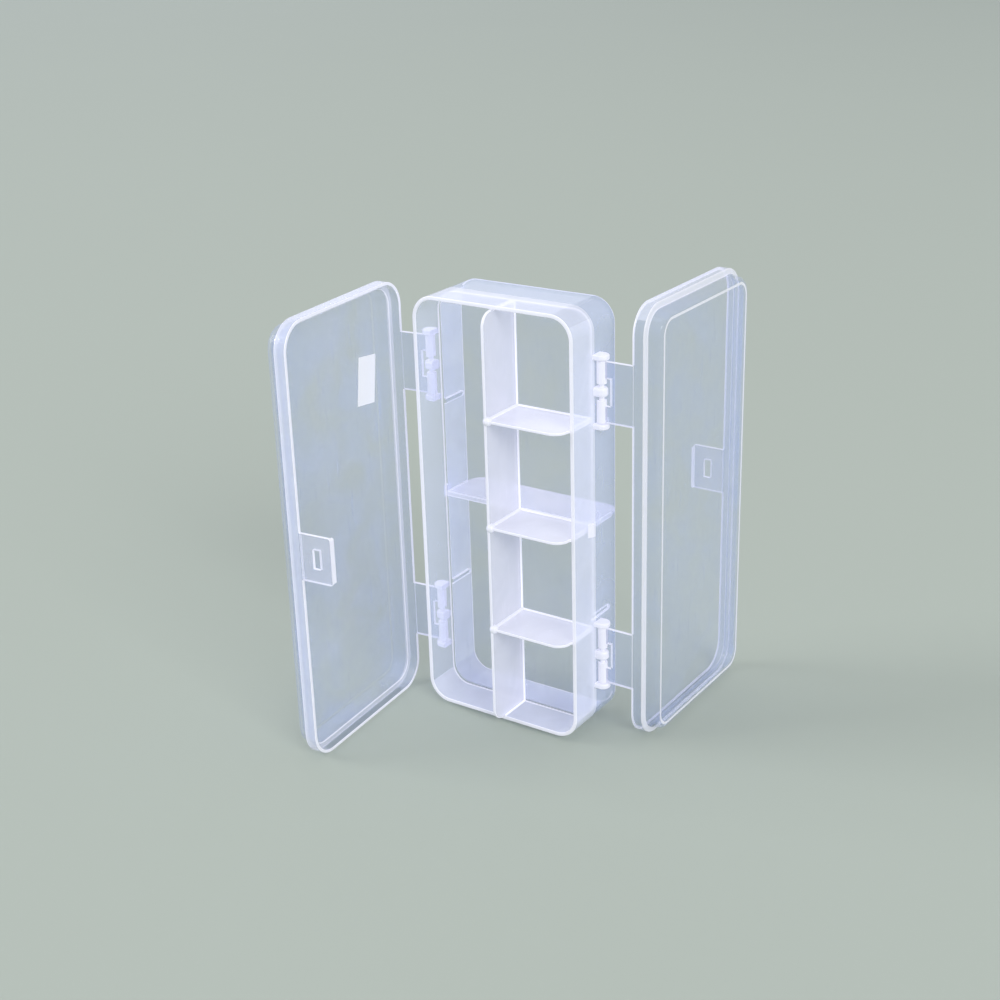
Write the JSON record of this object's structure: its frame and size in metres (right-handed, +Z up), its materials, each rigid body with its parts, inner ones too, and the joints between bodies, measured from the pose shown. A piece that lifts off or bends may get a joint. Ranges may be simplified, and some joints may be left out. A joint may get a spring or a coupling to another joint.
{
  "type": "compartment storage box",
  "caption": "Double-sided clear plastic box standing open: shelved trays front and back, each with its own snap-hinged lid and latch flap.",
  "frame": {"origin": "under the middle of the box body, on the plane that the lids' lower edges stand on", "axes": "+Z up along the box's longest side, +X towards the wall that the back lid is hinged on, -Y out of the front tray"},
  "size_m": [0.1415, 0.1817, 0.2044],
  "materials": {
    "box_clear": "translucent polypropylene, satin walls and polished web",
    "divider_frosted": "translucent polypropylene, milky satin",
    "hinge_pin_clear": "translucent polypropylene, satin",
    "lid_clear": "translucent polypropylene, satin edges and polished panel",
    "label_paper": "plain white coated paper"
  },
  "bodies": {
    "box": {"box_shell": "box_clear", "tall_divider": "divider_frosted", "front_shelf_lower": "divider_frosted", "front_shelf_middle": "divider_frosted", "front_shelf_upper": "divider_frosted", "back_shelf": "divider_frosted", "front_hinge_pin_lower": "hinge_pin_clear", "front_hinge_pin_upper": "hinge_pin_clear", "back_hinge_pin_lower": "hinge_pin_clear", "back_hinge_pin_upper": "hinge_pin_clear", "front_lid_catch": "hinge_pin_clear", "back_lid_catch": "hinge_pin_clear"},
    "front_lid": {"front_lid": "lid_clear", "front_lid_label": "label_paper"},
    "back_lid": {"back_lid": "lid_clear"},
    "front_latch": {"front_latch_flap": "lid_clear"},
    "back_latch": {"back_latch_flap": "lid_clear"}
  },
  "joints": [
    {"name": "front_lid_hinge", "type": "hinge", "parent": "box", "child": "front_lid", "pos_m": [-0.04385, -0.0017, 0.1022], "axis": [0, 0, -1], "range_deg": [-85, 80]},
    {"name": "back_lid_hinge", "type": "hinge", "parent": "box", "child": "back_lid", "pos_m": [0.04385, 0.0017, 0.1022], "axis": [0, 0, -1], "range_deg": [-90, 75]},
    {"name": "front_latch_flex", "type": "hinge", "parent": "front_lid", "child": "front_latch", "pos_m": [-0.05123, -0.09113, 0.1022], "axis": [0, 0, -1], "range_deg": [0, 15], "stiffness_Nm_per_rad": 0.05},
    {"name": "back_latch_flex", "type": "hinge", "parent": "back_lid", "child": "back_latch", "pos_m": [0.059, 0.09015, 0.1022], "axis": [0, 0, -1], "range_deg": [0, 15], "stiffness_Nm_per_rad": 0.05}
  ]
}
